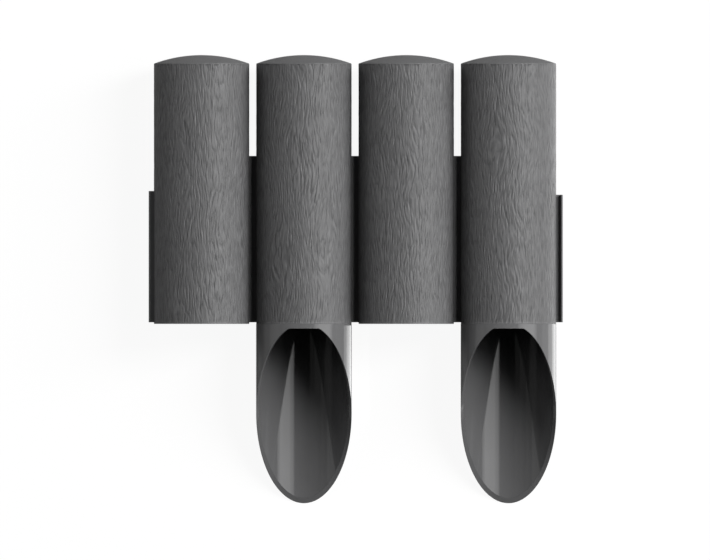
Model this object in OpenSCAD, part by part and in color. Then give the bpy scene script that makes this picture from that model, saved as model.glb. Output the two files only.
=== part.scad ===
// Garden edging palisade: four hollow round posts in a row, joined by narrow webs.
// The second and the fourth post run on down into stakes with a slanted cut.
// One end of the row carries a hook rail and the other a channel rail, so that
// the next length slides onto it from above at the same post spacing.
// The row is drawn standing, with its post bottoms at zero height, and is then
// laid on its back: X along the row, +Y to the post tops, +Z to the front.

/* [Posts] */
// Distance between the axes of neighbouring posts
post_pitch = 57.5; // [56.5:0.5:70]
// Outer diameter of a post and of a stake
post_d = 53.7; // [44:0.1:54.5]
// Wall thickness of posts, domes and stakes
wall = 1.6; // [1.2:0.1:3]
// Height of the post side, from its bottom edge to the dome's rim
post_side_h = 146.3; // [110:0.1:260]
// Rise of the shallow dome above its rim
dome_rise = 4.8; // [2.5:0.1:12]

/* [Stakes] */
// Length of a stake below the post bottoms
stake_l = 100.9; // [60:0.1:160]
// Full ring of tube left below the post bottoms before the slanted cut begins
ring_h = 2.7; // [1:0.1:12]
// Thickness of the lip left at the outer edge of the cut, where its inside is cut back
cut_lip = 0.4; // [0.3:0.05:0.8]
// Depth below the post bottoms at which the cut-back inside begins
inside_cut = 0.3; // [0.2:0.05:0.8]

/* [Webs] */
// Thickness of a web, front to back
web_t = 2.4; // [1.2:0.1:6]
// Height of a web's top edge above the post bottoms
web_top = 94.4; // [78:0.1:105]
// Height of the lower edge of webs and rails above the post bottoms
web_foot = 0.9; // [0:0.1:5]

/* [End rails] */
// Wall thickness of the two rails and their lips
rail_wall = 1.1; // [0.8:0.1:1.2]
// Height of the hook rail's top edge above the post bottoms
hook_top = 74.7; // [40:0.1:76]
// Height of the channel rail's top edge above the post bottoms
channel_top = 72.6; // [40:0.1:76]
// Play between the two lips when they are slid together
lip_play = 0.6; // [0.3:0.05:0.7]
// Distance that the lips pass beyond the row's middle plane
lip_lap = 1.2; // [1:0.1:1.8]
// Distance from the middle plane to the inner face of a rail's flat wall
rail_inside = 2.0; // [1.9:0.1:5]
// Play between the channel lip and the next length's post
end_play = 0.1; // [0.05:0.05:0.2]

/* [Hidden] */
$fn = 96;
post_r = post_d / 2;
bore_r = post_r - wall;
post_gap = post_pitch - post_d;
rim_z = post_side_h;
top_z = rim_z + dome_rise;
dome_r = (post_r * post_r + dome_rise * dome_rise) / (2 * dome_rise);
dome_centre_z = top_z - dome_r;
overrun = wall;
channel_reach = post_gap - end_play;
hook_reach = 2 * rail_wall + lip_play + end_play;
tip_r = rail_wall / 2;
row_post_1 = -1.5 * post_pitch;
row_post_2 = -0.5 * post_pitch;
row_post_3 = 0.5 * post_pitch;
row_post_4 = 1.5 * post_pitch;
middle_x = (channel_reach - hook_reach) / 2;
middle_z = (top_z - stake_l) / 2;
cut_slope = stake_l / post_d;

// One closed round form with a shallow dome: the outside of a post, or its hollow
module domed_round(r, sphere_r, low_z) {
  intersection() {
    translate([0, 0, low_z]) cylinder(r = r, h = top_z + overrun - low_z);
    union() {
      translate([0, 0, dome_centre_z]) sphere(r = sphere_r);
      translate([0, 0, low_z - overrun])
        cylinder(r = r + overrun, h = rim_z - dome_rise - low_z + overrun);
    }
  }
}

// Outside of a post that ends at the ground line
module short_post() {
  color("DimGray") domed_round(post_r, dome_r, 0);
}

// Outside of a post that runs on down as a stake
module stake_post() {
  color("DimGray") domed_round(post_r, dome_r, -stake_l);
}

// Hollow of a post, open at the bottom
module post_hollow(low_z) {
  domed_round(bore_r, dome_r - wall, low_z - overrun);
}

// Everything below a plane that slants from a flat start in front to an end at the back
module slant_space(start_y, start_z, end_y, end_z) {
  slope = (start_z - end_z) / (end_y - start_y);
  last_z = end_z - (post_r + overrun - end_y) * slope;
  translate([-post_r - overrun, 0, 0])
    rotate([90, 0, 90])
      linear_extrude(height = post_d + 2 * overrun)
        polygon([
          [-post_r - overrun, start_z],
          [start_y, start_z],
          [post_r + overrun, last_z],
          [-post_r - overrun, last_z]
        ]);
}

// The slanted cut through the stake: its outer edge starts below the ring in front and
// runs to the tip, and its inside is cut back to a steeper plane that meets it there
module stake_cut() {
  slant_space(-post_r + ring_h / cut_slope, -ring_h, post_r, -stake_l);
  intersection() {
    slant_space(-bore_r, -inside_cut, bore_r, -stake_l + wall * cut_slope);
    translate([0, 0, -stake_l - overrun]) cylinder(r = post_r - cut_lip, h = stake_l + overrun);
  }
}

// Web between a post and the next one, set back to the middle of the depth
module web() {
  color("SlateGray")
    translate([0, -web_t / 2, web_foot]) cube([post_pitch, web_t, web_top - web_foot]);
}

// Rail of one end, standing out in +X from a post axis at zero, open to the back:
// a flat wall in front, a rounded corner and a round-tipped lip that points backward
module lock_rail(reach, rail_top) {
  lip_x = post_r + reach - rail_wall;
  rail_h = rail_top - web_foot;
  translate([0, 0, web_foot]) {
    translate([bore_r, -rail_inside - rail_wall, 0])
      cube([lip_x - bore_r, rail_wall, rail_h]);
    translate([lip_x, -rail_inside, 0])
      cube([rail_wall, rail_inside + lip_lap - tip_r, rail_h]);
    translate([lip_x + tip_r, lip_lap - tip_r, 0]) cylinder(r = tip_r, h = rail_h);
    intersection() {
      translate([lip_x, -rail_inside, 0]) cylinder(r = rail_wall, h = rail_h);
      translate([lip_x, -rail_inside - rail_wall, 0]) cube([rail_wall, rail_wall, rail_h]);
    }
  }
}

// Hook rail on the first post: its lip points backward
module hook_rail() {
  color("SlateGray") mirror([1, 0, 0]) lock_rail(hook_reach, hook_top);
}

// Channel rail on the last post: its lip points forward
module channel_rail() {
  color("SlateGray") mirror([0, 1, 0]) lock_rail(channel_reach, channel_top);
}

// The whole moulding, standing
module standing_row() {
  difference() {
    union() {
      translate([row_post_1, 0, 0]) short_post();
      translate([row_post_2, 0, 0]) stake_post();
      translate([row_post_3, 0, 0]) short_post();
      translate([row_post_4, 0, 0]) stake_post();
      translate([row_post_1, 0, 0]) web();
      translate([row_post_2, 0, 0]) web();
      translate([row_post_3, 0, 0]) web();
      translate([row_post_1, 0, 0]) hook_rail();
      translate([row_post_4, 0, 0]) channel_rail();
    }
    translate([row_post_1, 0, 0]) post_hollow(0);
    translate([row_post_2, 0, 0]) post_hollow(-stake_l);
    translate([row_post_3, 0, 0]) post_hollow(0);
    translate([row_post_4, 0, 0]) post_hollow(-stake_l);
    translate([row_post_2, 0, 0]) stake_cut();
    translate([row_post_4, 0, 0]) stake_cut();
  }
}

// The moulding laid on its back
module palisade() {
  color("DimGray")
    translate([-middle_x, -middle_z, post_r])
      rotate([-90, 0, 0]) standing_row();
}

palisade();
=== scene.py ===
"""Looks of a garden edging palisade: four hollow round posts with moulded wood grain in
one row, joined by narrow webs. The second and fourth post run on into slant-cut hollow
stakes, and each end of the row carries a rail that slides onto the next length. The
moulding lies on its back on a pale floor and the camera looks straight down on its front.
"""
import logging
import math
from dataclasses import dataclass, field
from enum import Enum
from typing import Callable, Optional, Tuple

import bpy
import numpy as np
from mathutils import Matrix, Vector


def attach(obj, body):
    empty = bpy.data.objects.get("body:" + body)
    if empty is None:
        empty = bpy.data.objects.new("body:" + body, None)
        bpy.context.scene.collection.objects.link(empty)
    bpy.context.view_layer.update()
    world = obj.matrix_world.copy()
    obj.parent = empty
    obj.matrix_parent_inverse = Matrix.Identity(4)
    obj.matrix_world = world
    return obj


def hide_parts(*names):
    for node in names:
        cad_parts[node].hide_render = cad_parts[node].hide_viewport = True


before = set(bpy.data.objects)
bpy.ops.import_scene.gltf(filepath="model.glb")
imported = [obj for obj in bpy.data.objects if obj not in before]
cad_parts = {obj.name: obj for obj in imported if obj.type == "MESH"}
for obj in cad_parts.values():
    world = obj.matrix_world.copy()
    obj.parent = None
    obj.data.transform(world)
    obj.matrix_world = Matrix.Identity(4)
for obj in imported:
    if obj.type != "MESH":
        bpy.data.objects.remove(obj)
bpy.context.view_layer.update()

log = logging.getLogger("palisade")
MM = 0.001
CAD_NODE = "palisade"
Array = np.ndarray


class Facing(Enum):
    """The side to which an end rail's lip points."""

    BACK = 1
    FRONT = -1


class Sheen(Enum):
    """How the mould left a surface: with wood grain, etched with fine texture, or polished."""

    GRAINED = "grained"
    ETCHED = "etched"
    POLISHED = "polished"


# Sizes of the row


@dataclass(frozen=True)
class RowSizes:
    """Sizes of the moulding in metres, standing, with its post bottoms at height zero.

    Standing, x runs along the row, y to the back and z up. Laid on its back, z becomes
    the frame's +Y and the front becomes its +Z.
    """

    post_pitch: float = 57.5 * MM
    post_d: float = 53.7 * MM
    wall: float = 1.6 * MM
    post_side_h: float = 146.3 * MM
    dome_rise: float = 4.8 * MM
    stake_l: float = 100.9 * MM
    ring_h: float = 2.7 * MM
    web_t: float = 2.4 * MM
    web_top: float = 94.4 * MM
    web_foot: float = 0.9 * MM
    rail_wall: float = 1.1 * MM
    hook_top: float = 74.7 * MM
    channel_top: float = 72.6 * MM
    lip_play: float = 0.6 * MM
    lip_lap: float = 1.2 * MM
    rail_inside: float = 2.0 * MM
    end_play: float = 0.1 * MM
    inside_cut: float = 0.3 * MM
    bevel_rise: float = 1.8 * MM

    @property
    def post_r(self) -> float:
        """Outer radius of a post and of a stake."""
        return self.post_d / 2

    @property
    def bore_r(self) -> float:
        """Radius of a post's hollow."""
        return self.post_r - self.wall

    @property
    def top_h(self) -> float:
        """Height of the dome's apex."""
        return self.post_side_h + self.dome_rise

    @property
    def dome_r(self) -> float:
        """Radius of the sphere that the dome is a cap of: (r squared + rise squared) / twice the rise."""
        return (self.post_r**2 + self.dome_rise**2) / (2 * self.dome_rise)

    @property
    def dome_centre_h(self) -> float:
        """Height of that sphere's centre."""
        return self.top_h - self.dome_r

    @property
    def channel_reach(self) -> float:
        """How far the channel rail stands out from the last post."""
        return self.post_pitch - self.post_d - self.end_play

    @property
    def hook_reach(self) -> float:
        """How far the hook rail stands out from the first post."""
        return 2 * self.rail_wall + self.lip_play + self.end_play

    @property
    def middle_x(self) -> float:
        """Middle of the row's width, from the middle of the four posts."""
        return (self.channel_reach - self.hook_reach) / 2

    @property
    def middle_h(self) -> float:
        """Middle of the overall height."""
        return (self.top_h - self.stake_l) / 2

    def post_x(self, number: int) -> float:
        """Place of a post's axis along the row, for post numbers 1 to 4."""
        return (number - 2.5) * self.post_pitch

    def lay(self, x: Array, y: Array, z: Array) -> Array:
        """Turns the standing row onto its back.

        Args:
            x: Places along the row.
            y: Places in depth, positive to the back.
            z: Heights above the post bottoms.

        Returns:
            Points in the frame, with a last axis of three.
        """
        x, y, z = np.broadcast_arrays(x, y, z)
        return np.stack((x - self.middle_x, z - self.middle_h, self.post_r - y), axis=-1)

    def cut_height(self, turn: Array, share: float) -> Array:
        """Height of the slanted cut on a stake's wall.

        The outer edge lies on a plane that falls from the front of the tube at the post
        bottoms to the tip at its back, and never comes above the ring. The inner edge
        starts just under the post bottoms and ends on the same plane at the tip. Between
        those it lies above a straight slant by the bevel's rise times the square of the
        angle's sine. From edge to edge the wall's end is straight, so it is bevelled
        inward everywhere but at the tip, and most at the sides.

        Args:
            turn: Angles round the stake, zero at its front.
            share: Place across the wall, 0 on its outside and 1 on its inside.

        Returns:
            Heights above the post bottoms.
        """
        drop = self.stake_l / self.post_d
        outer = np.minimum(-self.ring_h, -drop * self.post_r * (1 - np.cos(turn)))
        fall = drop * (self.post_r + self.bore_r) - self.inside_cut
        inner = -self.inside_cut - fall * (1 - np.cos(turn)) / 2 + self.bevel_rise * np.sin(turn) ** 2
        return outer * (1 - share) + inner * share


# Mesh building


class Surface:
    """Puts arrays of points into Blender meshes."""

    @staticmethod
    def _object(name: str, points: Array, starts: Array, totals: Array, corners: Array, smooth: bool) -> bpy.types.Object:
        """Makes a mesh object from flat arrays.

        Args:
            name: Name of the piece.
            points: Vertices, N by 3.
            starts: First corner of each face.
            totals: Number of corners of each face.
            corners: Vertex numbers of all corners.
            smooth: Whether faces are shaded smooth.

        Returns:
            The new object, linked to the scene.
        """
        mesh = bpy.data.meshes.new(name)
        mesh.vertices.add(len(points))
        mesh.vertices.foreach_set("co", np.ascontiguousarray(points, np.float32).ravel())
        mesh.loops.add(len(corners))
        mesh.loops.foreach_set("vertex_index", corners.astype(np.int32))
        mesh.polygons.add(len(starts))
        mesh.polygons.foreach_set("loop_start", starts.astype(np.int32))
        mesh.polygons.foreach_set("loop_total", totals.astype(np.int32))
        mesh.polygons.foreach_set("use_smooth", np.full(len(starts), smooth))
        mesh.update(calc_edges=True)
        mesh.validate()
        piece = bpy.data.objects.new(name, mesh)
        bpy.context.scene.collection.objects.link(piece)
        return piece

    @classmethod
    def round_shell(cls, name: str, rings: Array, first_pole: Optional[Array], last_pole: Optional[Array]) -> bpy.types.Object:
        """Closed shell round an axis, from rings of points.

        Each quad joins point j and j + 1 of ring i to the same points of ring i + 1, and
        each ring closes on itself. A pole is one point joined to all of the end ring.
        With no poles the last ring joins the first one again, which makes a tube wall.

        Args:
            name: Name of the piece.
            rings: Points, rings by columns by 3, with columns anticlockwise seen from
                the end that comes last.
            first_pole: Point that closes the first ring, or None.
            last_pole: Point that closes the last ring, or None.

        Returns:
            The new object.
        """
        rows, cols = rings.shape[:2]
        looped = first_pole is None and last_pole is None
        i = np.arange(rows if looped else rows - 1)[:, None]
        j = np.arange(cols)[None, :]
        k, below, above = (j + 1) % cols, i * cols, ((i + 1) % rows) * cols
        quads = np.stack((below + j, below + k, above + k, above + j), axis=-1).reshape(-1, 4)
        points = [rings.reshape(-1, 3)]
        fans = []
        if not looped:
            count = rows * cols
            edge = np.arange(cols)
            turn = (edge + 1) % cols
            top = (rows - 1) * cols
            points += [np.asarray(first_pole)[None], np.asarray(last_pole)[None]]
            fans = [
                np.stack((turn, edge, np.full(cols, count)), axis=-1),
                np.stack((top + edge, top + turn, np.full(cols, count + 1)), axis=-1),
            ]
        threes = np.concatenate(fans) if fans else np.zeros((0, 3), int)
        corners = np.concatenate((quads.ravel(), threes.ravel()))
        totals = np.concatenate((np.full(len(quads), 4), np.full(len(threes), 3)))
        starts = np.concatenate(([0], np.cumsum(totals)[:-1]))
        return cls._object(name, np.concatenate(points), starts, totals, corners, True)

    @classmethod
    def bar(cls, name: str, section: Array, low: float, high: float, row: RowSizes) -> bpy.types.Object:
        """Straight bar: a flat section carried upward along a straight line.

        Args:
            name: Name of the piece.
            section: Corners of the section, N by 2 in x and y, anticlockwise from above.
            low: Height of the lower end.
            high: Height of the upper end.
            row: Sizes that lay the bar in the frame.

        Returns:
            The new object, closed by one flat face at each end.
        """
        n = len(section)
        ends = [row.lay(section[:, 0], section[:, 1], h) for h in (low, high)]
        j = np.arange(n)
        k = (j + 1) % n
        sides = np.stack((j, k, n + k, n + j), axis=-1).ravel()
        corners = np.concatenate((sides, j[::-1], n + j))
        totals = np.concatenate((np.full(n, 4), [n, n]))
        starts = np.concatenate(([0], np.cumsum(totals)[:-1]))
        return cls._object(name, np.concatenate(ends), starts, totals, corners, False)

    @staticmethod
    def mark(piece: bpy.types.Object, name: str, values: Array) -> None:
        """Stores one number a vertex for the finish to read.

        Args:
            piece: The object.
            name: Name of the attribute.
            values: One value a vertex, in vertex order; missing ones at the end are zero.
        """
        full = np.zeros(len(piece.data.vertices), np.float32)
        full[: values.size] = values.ravel()
        piece.data.attributes.new(name, "FLOAT", "POINT").data.foreach_set("value", full)

    @staticmethod
    def mark_places(piece: bpy.types.Object, name: str, places: Array) -> None:
        """Stores one place a vertex, in which the finish can look up its texture.

        Args:
            piece: The object.
            name: Name of the attribute.
            places: One point a vertex, in vertex order; missing ones at the end are zero.
        """
        full = np.zeros((len(piece.data.vertices), 3), np.float32)
        full[: len(places)] = places
        piece.data.attributes.new(name, "FLOAT_VECTOR", "POINT").data.foreach_set("vector", full.ravel())

    @staticmethod
    def ease_edges(piece: bpy.types.Object, width: float, segments: int = 2) -> None:
        """Rounds the piece's sharp edges a little, as a mould does.

        Args:
            piece: The object.
            width: Width of the rounding.
            segments: Facets across the rounding.
        """
        bevel = piece.modifiers.new("eased_edges", "BEVEL")
        bevel.width = width
        bevel.segments = segments
        bevel.limit_method = "ANGLE"
        bevel.angle_limit = math.radians(40)
        bevel.harden_normals = False


# Moulded wood grain


@dataclass(frozen=True)
class WoodGrain:
    """Relief of moulded wood grain on one post.

    Fibres are noise drawn out along the post: cells about a millimetre wide and several
    millimetres long. Their places across the post are shifted by slow waves, so that
    they lean, swell and meet in pointed flames. The relief repeats round the post.

    Attributes:
        seed: Number that makes each post's grain its own.
        girth: Distance once round the post.
        height: Height of the grained side.
        depth: Depth of the deepest groove.
    """

    seed: int
    girth: float
    height: float
    depth: float = 0.23 * MM

    def _noise(self, rng: np.random.Generator, arc: Array, height: Array, wide: float, long: float) -> Array:
        """Smooth noise on a grid of cells that repeats once round the post.

        Each grid corner has a random direction. The value at a point is the distance
        from each of its cell's corners along that corner's direction, blended with the
        weight 6t^5 - 15t^4 + 10t^3 along both sides of the cell.

        Args:
            rng: Source of the random directions.
            arc: Places round the post.
            height: Heights on the post.
            wide: Width of a cell round the post.
            long: Length of a cell along the post.

        Returns:
            Values of about -0.7 to 0.7, in the shape of the places.
        """
        across = max(3, int(round(self.girth / wide)))
        along = int(math.ceil(self.height / long)) + 1
        turn = rng.uniform(0.0, 2 * math.pi, (along + 2, across))
        gu, gv = np.cos(turn), np.sin(turn)
        u = arc / self.girth * across
        v = np.clip(height / long, 0, along)
        iu, iv = np.floor(u).astype(int), np.floor(v).astype(int)
        fu, fv = u - iu, v - iv
        a, b = iu % across, (iu + 1) % across
        su = fu**3 * (fu * (fu * 6 - 15) + 10)
        sv = fv**3 * (fv * (fv * 6 - 15) + 10)
        low = (gu[iv, a] * fu + gv[iv, a] * fv) * (1 - su) + (gu[iv, b] * (fu - 1) + gv[iv, b] * fv) * su
        up, iw = fv - 1, iv + 1
        high = (gu[iw, a] * fu + gv[iw, a] * up) * (1 - su) + (gu[iw, b] * (fu - 1) + gv[iw, b] * up) * su
        return low * (1 - sv) + high * sv

    def relief(self, turn: Array, height: Array) -> Tuple[Array, Array]:
        """How deep the grain lies under the post's outermost surface, and how it runs.

        Args:
            turn: Angles round the post, in radians.
            height: Heights above the post bottom.

        Returns:
            Shares of the deepest groove, 0 to 1, and how far the fibres are shifted round
            the post there.
        """
        rng = np.random.default_rng(self.seed)
        arc = turn / (2 * math.pi) * self.girth

        def noise(wide: float, long: float, shift: Array) -> Array:
            """Noise with cell sizes in millimetres at places shifted round the post."""
            return self._noise(rng, arc + shift, height, wide * MM, long * MM)

        none = np.zeros_like(arc)
        flow = (6.0 * noise(14, 40, none) + 0.6 * noise(4.5, 14, none) + 0.12 * noise(2, 5, none)) * MM
        fold = self.girth / 8
        rings = fold / (2 * math.pi) * np.arcsin(0.98 * np.sin(2 * math.pi * (arc + flow) / fold))
        rings = rings + 0.16 * height + (0.5 * noise(6, 16, none)) * MM
        line = np.sin(2 * math.pi * rings / (1.65 * MM)) * np.clip(0.6 + 1.4 * noise(2.6, 14, flow), 0, 1)
        calm = np.clip(0.5 + 1.6 * noise(18, 45, none), 0, 1)
        fibre = noise(0.80, 8.0, flow)
        pore = np.clip(noise(0.75, 3.2, flow) - 0.15, 0, 1)
        crack = np.clip(1 - np.abs(noise(2.0, 15, flow) + 0.25 * noise(0.9, 6, flow)) / 0.11, 0, 1)
        raised = 0.26 * line * (0.5 + 0.5 * calm) + 0.50 * fibre - (1.6 - 0.8 * calm) * pore - 0.75 * crack
        return np.clip(0.30 - 0.62 * raised, 0, 1), flow


# Finishes


@dataclass(frozen=True)
class PlasticFinish:
    """Anthracite plastic as the mould left it.

    Attributes:
        name: Name of the material.
        shade: Colour of the plastic.
        roughness: Mean roughness of the surface.
        sheen: Etched or polished by the mould.
        painted_shade: Share of the colour left where the groove mark is 1, as painted shade: in the posts' deepest
            grooves, and inside the stakes and on their cut.
        relief: Depth of the fine texture that is too small for the mesh.
        carving: Depth that sharpens the grooves' own shading.
        specular: Strength of the surface's reflection, 0.5 for plain plastic.
    """

    name: str
    shade: Tuple[float, float, float]
    roughness: float
    sheen: Sheen
    painted_shade: float = 1.0
    relief: float = 0.02 * MM
    carving: float = 0.20 * MM
    specular: float = 0.5

    def material(self) -> bpy.types.Material:
        """Builds the node material.

        Returns:
            A material whose colour varies slightly in slow clouds, as masterbatch does,
            whose roughness varies with it, and whose fine relief is noise drawn out
            along the posts where it is etched, or a faint orange peel where polished.
            Where the groove mark is set, its colour is darkened as painted shade.
        """
        mat = bpy.data.materials.new(self.name)
        mat.use_nodes = True
        tree = mat.node_tree
        nodes, links = tree.nodes, tree.links
        shader = nodes["Principled BSDF"]
        place = nodes.new("ShaderNodeTexCoord")

        clouds = nodes.new("ShaderNodeTexNoise")
        clouds.inputs["Scale"].default_value = 38.0
        clouds.inputs["Detail"].default_value = 3.0
        links.new(place.outputs["Object"], clouds.inputs["Vector"])

        tone = nodes.new("ShaderNodeValToRGB")
        tone.color_ramp.elements[0].position = 0.3
        tone.color_ramp.elements[1].position = 0.7
        tone.color_ramp.elements[0].color = (*[c * 0.96 for c in self.shade], 1)
        tone.color_ramp.elements[1].color = (*[c * 1.04 for c in self.shade], 1)
        links.new(clouds.outputs["Fac"], tone.inputs["Fac"])
        colour = tone.outputs["Color"]

        # Painted shade: where the groove mark is set, the colour is multiplied down to this finish's share, darkening
        # the posts' grain grooves and the stakes' inside and cut as shade would.
        if self.painted_shade < 1.0:
            groove = nodes.new("ShaderNodeAttribute")
            groove.attribute_name = "groove"
            dark = nodes.new("ShaderNodeMix")
            dark.data_type = "RGBA"
            dark.blend_type = "MULTIPLY"
            painted_shade_left = self.painted_shade
            dark.inputs["B"].default_value = (painted_shade_left, painted_shade_left, painted_shade_left, 1)
            links.new(groove.outputs["Fac"], dark.inputs["Factor"])
            links.new(colour, dark.inputs["A"])
            colour = dark.outputs["Result"]
        links.new(colour, shader.inputs["Base Color"])

        rough = nodes.new("ShaderNodeMapRange")
        rough.inputs["From Min"].default_value = 0.3
        rough.inputs["From Max"].default_value = 0.7
        rough.inputs["To Min"].default_value = self.roughness * 0.92
        rough.inputs["To Max"].default_value = self.roughness * 1.08
        links.new(clouds.outputs["Fac"], rough.inputs["Value"])
        links.new(rough.outputs["Result"], shader.inputs["Roughness"])

        stretch = nodes.new("ShaderNodeMapping")
        along = 1.0 if self.sheen is Sheen.POLISHED else 0.10
        stretch.inputs["Scale"].default_value = (1.0, along, 1.0)
        if self.sheen is Sheen.GRAINED:
            fibre = nodes.new("ShaderNodeAttribute")
            fibre.attribute_name = "fibre"
            links.new(fibre.outputs["Vector"], stretch.inputs["Vector"])
        else:
            links.new(place.outputs["Object"], stretch.inputs["Vector"])
        fine = nodes.new("ShaderNodeTexNoise")
        fine.inputs["Scale"].default_value = 260.0 if self.sheen is Sheen.POLISHED else 1700.0
        fine.inputs["Detail"].default_value = 2.0
        links.new(stretch.outputs["Vector"], fine.inputs["Vector"])
        if self.sheen is Sheen.GRAINED:
            hair = nodes.new("ShaderNodeMapRange")
            hair.inputs["From Min"].default_value = 0.35
            hair.inputs["From Max"].default_value = 0.65
            hair.inputs["To Min"].default_value = 0.78
            hair.inputs["To Max"].default_value = 1.18
            links.new(fine.outputs["Fac"], hair.inputs["Value"])
            streak = nodes.new("ShaderNodeMix")
            streak.data_type = "RGBA"
            streak.blend_type = "MULTIPLY"
            streak.inputs["Factor"].default_value = 1.0
            links.new(colour, streak.inputs["A"])
            links.new(hair.outputs["Result"], streak.inputs["B"])
            links.new(streak.outputs["Result"], shader.inputs["Base Color"])
        bump = nodes.new("ShaderNodeBump")
        bump.inputs["Strength"].default_value = 1.0
        bump.inputs["Distance"].default_value = self.relief
        links.new(fine.outputs["Fac"], bump.inputs["Height"])
        if self.sheen is Sheen.GRAINED:
            carve = nodes.new("ShaderNodeBump")
            carve.invert = True
            carve.inputs["Distance"].default_value = self.carving
            links.new(groove.outputs["Fac"], carve.inputs["Height"])
            links.new(carve.outputs["Normal"], bump.inputs["Normal"])
        links.new(bump.outputs["Normal"], shader.inputs["Normal"])

        shader.inputs["IOR"].default_value = 1.5
        shader.inputs["Specular IOR Level"].default_value = self.specular
        return mat


@dataclass
class Finishes:
    """The finishes of the moulding, one material each."""

    grained: bpy.types.Material = field(init=False)
    polished: bpy.types.Material = field(init=False)
    plain: bpy.types.Material = field(init=False)

    def __post_init__(self) -> None:
        """Builds the materials."""
        shade = (0.126, 0.126, 0.128)
        # 0.60 and 0.77 are the shares of colour left under painted shade: in the posts' deepest grooves, and inside the
        # stakes and on their cut.
        grained = PlasticFinish("grained_plastic", shade, 0.52, Sheen.GRAINED, 0.60, relief=0.035 * MM, specular=0.35)
        polished = PlasticFinish("polished_plastic", (0.122, 0.122, 0.124), 0.075, Sheen.POLISHED, 0.77, relief=0.002 * MM)
        plain = PlasticFinish("plain_plastic", shade, 0.50, Sheen.ETCHED, relief=0.006 * MM, specular=0.30)
        self.grained, self.polished, self.plain = (finish.material() for finish in (grained, polished, plain))


def hand_over(piece: bpy.types.Object, material: bpy.types.Material) -> bpy.types.Object:
    """Dresses a finished piece and ties it to the moulding's body.

    Args:
        piece: The finished object.
        material: Its finish.

    Returns:
        The same object.
    """
    piece.data.materials.append(material)
    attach(piece, "root")
    log.info("%s: %d faces", piece.name, len(piece.data.polygons))
    return piece


# Posts and stakes


@dataclass
class Post:
    """One hollow round post with a shallow dome and moulded grain on its side.

    Attributes:
        number: Place in the row, 1 to 4.
        row: Sizes of the row.
        finishes: Finishes of the moulding.
        columns: Points round the post.
        side_rows: Points up the grained side.
        edge: Radius of the rounded edge at the foot.
        rim: Width and depth of the fine groove between side and dome.
    """

    number: int
    row: RowSizes
    finishes: Finishes
    columns: int = 620
    side_rows: int = 128
    edge: float = 0.35 * MM
    rim: float = 0.30 * MM

    def _rings(self) -> Tuple[Array, Array, Array]:
        """Rings of the closed shell, from the hollow's apex round the foot to the dome.

        The profile is a list of radii and heights: down the inside of the dome on a
        sphere, down the bore, out across the foot with a quarter round at its outer
        edge, up the side less the grain, over a fine groove at the rim, and up the dome
        on a sphere to its apex. Each point of it is carried once round the axis.

        Returns:
            Rings by columns by 3 points in the frame, the grain's share at each, which sets
            both the groove's depth and the painted shade in it, and the places at which the
            finish looks up the finest fibres.
        """
        row = self.row
        inner_r = row.dome_r - row.wall
        under = np.linspace(0.06, 1.0, 6) * row.bore_r
        under_h = row.dome_centre_h + np.sqrt(inner_r**2 - under**2)
        bore_h = np.linspace(under_h[-1], 0.0, 4)[1:]
        bend = np.linspace(0.0, math.pi / 2, 4)
        foot_r = row.post_r - self.edge + self.edge * np.sin(bend)
        foot_h = self.edge - self.edge * np.cos(bend)
        side_h = np.linspace(self.edge, row.post_side_h - self.rim, self.side_rows)
        rim_r = row.post_r - np.array([0.25, 0.90, 0.30]) * self.rim
        rim_h = row.post_side_h - np.array([0.85, 0.65, 0.10]) * self.rim
        cap_r = np.linspace(row.post_r - 0.70 * self.rim, 0.05 * row.post_r, 13)
        cap_h = row.dome_centre_h + np.sqrt(row.dome_r**2 - cap_r**2)
        radius = np.concatenate((under, np.full(3, row.bore_r), foot_r[:-1], np.full(self.side_rows, row.post_r), rim_r, cap_r))
        height = np.concatenate((under_h, bore_h, foot_h[:-1], side_h, rim_h, cap_h))
        turn = np.arange(self.columns) / self.columns * 2 * math.pi
        turns, heights = np.meshgrid(turn, height)
        grain = WoodGrain(11 + self.number, 2 * math.pi * row.post_r, row.post_side_h)
        first = len(under) + 3 + 3
        side = slice(first, first + self.side_rows)
        share, shift = np.zeros_like(heights), np.zeros_like(heights)
        share[side], shift[side] = grain.relief(turns[side], heights[side])
        fade = np.clip((heights[side] - self.edge) / (1.2 * MM), 0, 1)
        share[side] *= fade
        # Near the foot the share is 0.35 all round: a slight step in at the edge, and painted shade along it.
        share[side] += 0.35 * (1 - fade)
        radii = radius[:, None] - share * grain.depth
        centre = row.post_x(self.number)
        points = row.lay(centre + radii * np.sin(turns), -radii * np.cos(turns), heights)
        leaned = turns + shift / row.post_r
        radii = np.broadcast_to(radius[:, None], leaned.shape)
        fibres = np.stack((radii * np.sin(leaned), heights + 0.2 * self.number, radii * np.cos(leaned)), axis=-1)
        return points, share, fibres

    def build(self) -> bpy.types.Object:
        """Builds and dresses the post.

        Returns:
            The post's object.
        """
        rings, share, fibres = self._rings()
        row, centre = self.row, self.row.post_x(self.number)
        inside = row.lay(centre, 0.0, row.top_h - row.wall)
        apex = row.lay(centre, 0.0, row.top_h)
        piece = Surface.round_shell(f"post_{self.number}", rings, inside, apex)
        # The groove mark darkens the grain's grooves and the foot's edge as painted shade, and sharpens the grooves'
        # bump.
        Surface.mark(piece, "groove", share)
        Surface.mark_places(piece, "fibre", fibres.reshape(-1, 3))
        return hand_over(piece, self.finishes.grained)


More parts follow.
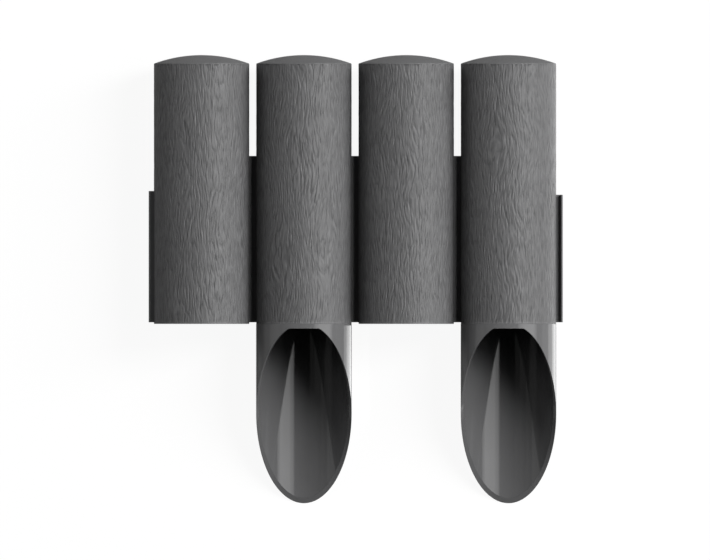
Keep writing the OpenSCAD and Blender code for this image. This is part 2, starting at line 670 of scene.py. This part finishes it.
@dataclass
class Stake:
    """The hollow stake that a post runs on into, with its slanted cut.

    Attributes:
        number: Number of the post that it belongs to.
        row: Sizes of the row.
        finishes: Finishes of the moulding.
        columns: Points round the tube.
        rows: Points down each wall.
        edge: Rounding of the cut's edges.
        let_in: How far the stake's tenon reaches up inside the post's wall.
    """

    number: int
    row: RowSizes
    finishes: Finishes
    columns: int = 320
    rows: int = 40
    edge: float = 0.12 * MM
    let_in: float = 3.0 * MM

    def build(self) -> bpy.types.Object:
        """Builds and dresses the stake.

        The tube is one wall carried round its axis: down the outside from the post's
        foot to the cut, across the cut, up the inside to the post's foot again, and back
        through a thin tenon that is hidden inside the post's wall. At each angle the
        wall ends where the slanted cut meets it, so its rows close up towards the tip.

        Returns:
            The stake's object.
        """
        row = self.row
        turn = np.arange(self.columns) / self.columns * 2 * math.pi
        outer, inner = row.post_r, row.bore_r
        round_in = self.edge / row.wall
        shares = np.array([0.0, 0.3, 1.0, 1.4])[:, None] * round_in
        shares = np.concatenate((shares, 1 - shares[::-1]))
        lift = np.array([1.0, 0.3, 0.0, 0.0, 0.0, 0.0, 0.3, 1.0])[:, None] * self.edge
        cut = row.cut_height(turn, shares) + lift
        down = np.concatenate(([0.0, 0.001], np.linspace(0.005, 1.0, self.rows - 2)))[:-1, None]
        ends = np.minimum(cut[[0, -1]], -self.edge)
        near = ends * (1 - 0.3 * np.minimum(1, self.edge / -ends))
        wall_out = np.concatenate((ends[:1] * down, near[:1]))
        wall_in = np.concatenate((near[1:], ends[1:] * down[::-1]))
        cut[[0, -1]] = ends
        shoulder = np.zeros((1, self.columns))
        tenon = np.full((2, self.columns), self.let_in)
        heights = np.concatenate((wall_out, cut, wall_in, shoulder, tenon, shoulder))
        half = 0.3 * row.wall
        radius = np.concatenate(
            (
                np.full(len(wall_out), outer),
                outer - shares[:, 0] * row.wall,
                np.full(len(wall_in), inner),
                [inner + half, inner + half, outer - half, outer - half],
            )
        )[:, None]
        centre = row.post_x(self.number)
        points = row.lay(centre + radius * np.sin(turn), -radius * np.cos(turn), heights)
        # Painted shade: the cut's face is marked 1 at the front and sides, falling to 0.1 towards the tip at the back,
        # and the cut's inner rounding, the tube's inside and the hidden tenon are marked 1, so the finish darkens them
        # as shade would.
        inside = np.zeros(heights.shape)
        inside[len(wall_out) :] = np.clip(1.1 + np.cos(turn), 0, 1)
        inside[len(wall_out) + len(cut) - 2 :] = 1.0
        piece = Surface.round_shell(f"stake_{self.number}", points[::-1], None, None)
        # The groove mark here marks no groove: it carries that painted shade.
        Surface.mark(piece, "groove", inside[::-1])
        return hand_over(piece, self.finishes.polished)


# Webs and rails


@dataclass
class Web:
    """The narrow web between a post and the next one."""

    number: int
    row: RowSizes
    finishes: Finishes

    def build(self) -> bpy.types.Object:
        """Builds and dresses the web as a bar let into both posts' walls.

        Returns:
            The web's object.
        """
        row = self.row
        start = row.post_x(self.number) + row.bore_r + row.wall / 2
        end = row.post_x(self.number + 1) - row.bore_r - row.wall / 2
        half = row.web_t / 2
        section = np.array([[start, -half], [end, -half], [end, half], [start, half]])
        piece = Surface.bar(f"web_{self.number}", section, row.web_foot, row.web_top, row)
        Surface.ease_edges(piece, 0.2 * MM)
        return hand_over(piece, self.finishes.plain)


@dataclass
class EndRail:
    """A rail at one end of the row: a flat wall, a rounded corner and a round-tipped lip.

    Attributes:
        name: Name of the piece.
        post: Number of the post that carries it.
        side: -1 on the left end of the row and 1 on the right.
        reach: How far it stands out from the post.
        top: Height of its upper end.
        facing: Where its lip points.
        row: Sizes of the row.
        finishes: Finishes of the moulding.
    """

    name: str
    post: int
    side: int
    reach: float
    top: float
    facing: Facing
    row: RowSizes
    finishes: Finishes

    def _section(self) -> Array:
        """The rail's section: straight walls joined by arcs.

        The outer corner is a quarter circle of the wall's thickness and the lip's tip a
        half circle across it. It is worked out for a rail on the right whose lip points
        back, and then mirrored.

        Returns:
            Corners in x and y, anticlockwise seen from above.
        """
        row = self.row
        lip_x = row.post_r + self.reach - row.rail_wall
        tip = row.rail_wall / 2
        corner = np.linspace(-math.pi / 2, 0, 9)
        cap = np.linspace(0, math.pi, 13)
        root = row.bore_r + row.wall / 2
        parts = (
            [[root, -row.rail_inside - row.rail_wall]],
            np.stack((lip_x + row.rail_wall * np.cos(corner), -row.rail_inside + row.rail_wall * np.sin(corner)), axis=-1),
            np.stack((lip_x + tip + tip * np.cos(cap), row.lip_lap - tip + tip * np.sin(cap)), axis=-1),
            [[lip_x, -row.rail_inside], [root, -row.rail_inside]],
        )
        section = np.concatenate(parts)
        section[:, 1] *= self.facing.value
        section[:, 0] = row.post_x(self.post) + self.side * section[:, 0]
        return section if self.side * self.facing.value > 0 else section[::-1]

    def build(self) -> bpy.types.Object:
        """Builds and dresses the rail.

        Returns:
            The rail's object.
        """
        piece = Surface.bar(self.name, self._section(), self.row.web_foot, self.top, self.row)
        Surface.ease_edges(piece, 0.12 * MM)
        return hand_over(piece, self.finishes.plain)


# Studio


@dataclass
class Studio:
    """Pale floor, plain soft lights and a camera straight above the moulding's front.

    Attributes:
        view_width: Width of floor that the camera sees.
        aim: Point under the middle of the picture.
        floor_shade: Share of the floor's brightness that is its own and not its light.
        floor_mirrored: The same share where the moulding's sheen mirrors the floor.
        floor_bounce: Share of light that the floor throws back onto the moulding.
        light_away: Distance of the soft lights.
    """

    view_width: float = 710 * 57.5 / 102.3 * MM
    aim: Tuple[float, float] = (-0.43 * MM, -0.43 * MM)
    floor_shade: float = 0.93
    floor_mirrored: float = 0.05
    floor_bounce: float = 0.30
    light_away: float = 4.0

    def camera(self) -> None:
        """Makes the camera: straight down, with parallel sight lines."""
        data = bpy.data.cameras.new("camera")
        data.type = "ORTHO"
        data.ortho_scale = self.view_width
        data.clip_start, data.clip_end = 0.01, 10.0
        camera = bpy.data.objects.new("camera", data)
        camera.location = (*self.aim, 1.5)
        bpy.context.scene.collection.objects.link(camera)
        bpy.context.scene.camera = camera

    def soft_light(self, name: str, turn: Tuple[float, float], lift: Tuple[float, float], radiance: float) -> None:
        """Makes one soft light that faces the moulding and fills a window of the sky.

        The window is given by two angles in degrees: the turn goes from straight above
        to the right, and the lift leans from there towards the tops of the posts.

        Args:
            name: Name of the light.
            turn: Least and greatest turn.
            lift: Least and greatest lift.
            radiance: Brightness of its face.
        """
        low, high = (math.radians(angle) for angle in turn)
        near, far = (math.radians(angle) for angle in lift)
        mid, up = (low + high) / 2, (near + far) / 2
        toward = Vector((math.sin(mid) * math.cos(up), math.sin(up), math.cos(mid) * math.cos(up)))
        right = Vector((math.cos(mid), 0.0, -math.sin(mid)))
        away = self.light_away
        size = (2 * away * math.cos(up) * math.tan((high - low) / 2), 2 * away * math.tan((far - near) / 2))
        self._lamp(name, toward * away, Matrix((right, toward.cross(right), toward)).transposed(), size, radiance)

    def graded_light(self, name: str, turns: Tuple[Tuple[float, float], ...], lift: Tuple[float, float], radiances: Tuple[float, ...]) -> None:
        """Makes one soft light that is brighter inside than at its border.

        Several windows of the same lift lie in each other and their brightness adds up.

        Args:
            name: Name of the light.
            turns: Least and greatest turn of each window, the widest first.
            lift: Least and greatest lift of them all.
            radiances: Brightness that each window adds.
        """
        for step, (turn, radiance) in enumerate(zip(turns, radiances), start=1):
            self.soft_light(f"{name}_{step}", turn, lift, radiance)

    def card(self, name: str, place: Tuple[float, float, float], size: Tuple[float, float], tilt: float, radiance: float) -> None:
        """Makes one bright card that lies beside the moulding, close to the floor.

        Args:
            name: Name of the card.
            place: Its middle.
            size: Its width along the row and its length along the posts.
            tilt: Degrees that its face leans from straight up towards the left.
            radiance: Brightness of its face.
        """
        lean = math.radians(tilt)
        across, face = (-math.cos(lean), 0, -math.sin(lean)), (math.sin(lean), 0, -math.cos(lean))
        self._lamp(name, Vector(place), Matrix((across, (0, 1, 0), face)).transposed(), size, radiance)

    @staticmethod
    def _lamp(name: str, place: Vector, frame_of: Matrix, size: Tuple[float, float], radiance: float) -> None:
        """Makes a rectangular area light that the camera doesn't see.

        Args:
            name: Name of the light.
            place: Its middle.
            frame_of: Columns that give its width, its length and the way away from its face.
            size: Its width and length.
            radiance: Brightness of its face.
        """
        data = bpy.data.lights.new(name, "AREA")
        data.shape = "RECTANGLE"
        data.size, data.size_y = size
        data.energy = radiance * math.pi * size[0] * size[1]
        lamp = bpy.data.objects.new(name, data)
        lamp.location = place
        lamp.rotation_mode = "QUATERNION"
        lamp.rotation_quaternion = frame_of.to_quaternion()
        lamp.visible_camera = False
        bpy.context.scene.collection.objects.link(lamp)

    @staticmethod
    def surroundings() -> None:
        """Makes the surroundings: they give no light, and past the floor the camera sees white."""
        world = bpy.data.worlds.new("studio")
        bpy.context.scene.world = world
        world.use_nodes = True
        nodes, links = world.node_tree.nodes, world.node_tree.links
        sky = nodes["Background"]
        sky.inputs["Color"].default_value = (1, 1, 1, 1)
        ray = nodes.new("ShaderNodeLightPath")
        links.new(ray.outputs["Is Camera Ray"], sky.inputs["Strength"])

    def floor(self) -> None:
        """Makes the pale floor. Seen by the camera it is close to white, and a share of
        its own light and shadow stays on it."""
        half = 9.0
        corners = np.array([[-half, -half, 0], [half, -half, 0], [half, half, 0], [-half, half, 0]])
        piece = Surface._object("floor", corners, np.array([0]), np.array([4]), np.arange(4), False)
        mat = bpy.data.materials.new("pale_floor")
        mat.use_nodes = True
        nodes, links = mat.node_tree.nodes, mat.node_tree.links
        nodes.clear()
        out = nodes.new("ShaderNodeOutputMaterial")
        ray = nodes.new("ShaderNodeLightPath")
        seen = nodes.new("ShaderNodeMath")
        seen.operation = "MAXIMUM"
        links.new(ray.outputs["Is Camera Ray"], seen.inputs[0])
        links.new(ray.outputs["Is Transmission Ray"], seen.inputs[1])
        tone = nodes.new("ShaderNodeMapRange")
        tone.inputs["To Min"].default_value = self.floor_bounce
        tone.inputs["To Max"].default_value = 1.0
        links.new(seen.outputs[0], tone.inputs["Value"])
        paint = nodes.new("ShaderNodeBsdfDiffuse")
        links.new(tone.outputs["Result"], paint.inputs["Color"])
        glow = nodes.new("ShaderNodeEmission")
        glow.inputs["Strength"].default_value = 1.0
        mirrored = nodes.new("ShaderNodeMath")
        mirrored.operation = "MULTIPLY"
        mirrored.inputs[1].default_value = self.floor_mirrored
        links.new(ray.outputs["Is Glossy Ray"], mirrored.inputs[0])
        white = nodes.new("ShaderNodeMath")
        white.operation = "MULTIPLY"
        white.inputs[1].default_value = self.floor_shade
        links.new(seen.outputs[0], white.inputs[0])
        share = nodes.new("ShaderNodeMath")
        share.operation = "MAXIMUM"
        links.new(white.outputs[0], share.inputs[0])
        links.new(mirrored.outputs[0], share.inputs[1])
        mix = nodes.new("ShaderNodeMixShader")
        links.new(share.outputs[0], mix.inputs["Fac"])
        links.new(paint.outputs[0], mix.inputs[1])
        links.new(glow.outputs[0], mix.inputs[2])
        links.new(mix.outputs[0], out.inputs["Surface"])
        piece.data.materials.append(mat)

    def build(self) -> None:
        """Sets up the whole studio."""
        bpy.context.scene.view_settings.view_transform = "Standard"
        self.camera()
        self.floor()
        self.surroundings()
        self.graded_light("band_light", ((24.5, 72.0), (28.0, 68.0), (35.0, 64.0)), (-12.0, 10.0), (1.1, 0.65, 0.65))
        self.graded_light("key_light", ((25.0, 70.0), (25.0, 47.0)), (10.0, 27.0), (16.0, 6.8))
        self.graded_light("left_light", ((-75.0, -15.7), (-75.0, -30.0), (-75.0, -60.0)), (12.0, 30.0), (0.4, 1.1, 3.5))
        self.graded_light("faint_light", ((-90.0, -15.7), (-90.0, -28.0), (-90.0, -45.0), (-90.0, -62.0)), (-12.0, 12.0), (0.10, 0.08, 0.12, 0.26))
        self.card("right_card", (0.1625, -0.01, 0.001), (0.087, 0.30), 0.0, 1.15)
        self.card("near_right_card", (0.1385, -0.01, 0.0015), (0.023, 0.30), 0.0, 1.2)
        self.card("middle_card", (0.0215, -0.053, 0.0115), (0.036, 0.054), 40.0, 1.2)
        self.card("near_middle_card", (0.0173, -0.053, 0.0080), (0.024, 0.054), 40.0, 1.1)


def main() -> None:
    """Builds the moulding piece by piece, then the studio."""
    logging.basicConfig(level=logging.INFO, format="%(name)s: %(message)s")
    row = RowSizes()
    finishes = Finishes()
    pieces = [Post(number, row, finishes).build() for number in (1, 3)]
    pieces += [Post(number, row, finishes, edge=0.12 * MM).build() for number in (2, 4)]
    pieces += [Stake(number, row, finishes).build() for number in (2, 4)]
    pieces += [Web(number, row, finishes).build() for number in (1, 2, 3)]
    pieces.append(EndRail("hook_rail", 1, -1, row.hook_reach, row.hook_top, Facing.BACK, row, finishes).build())
    pieces.append(EndRail("channel_rail", 4, 1, row.channel_reach, row.channel_top, Facing.FRONT, row, finishes).build())
    for piece in pieces:
        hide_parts(CAD_NODE)
    Studio().build()
    log.info("%d pieces", len(pieces))


if __name__ == "__main__":
    main()
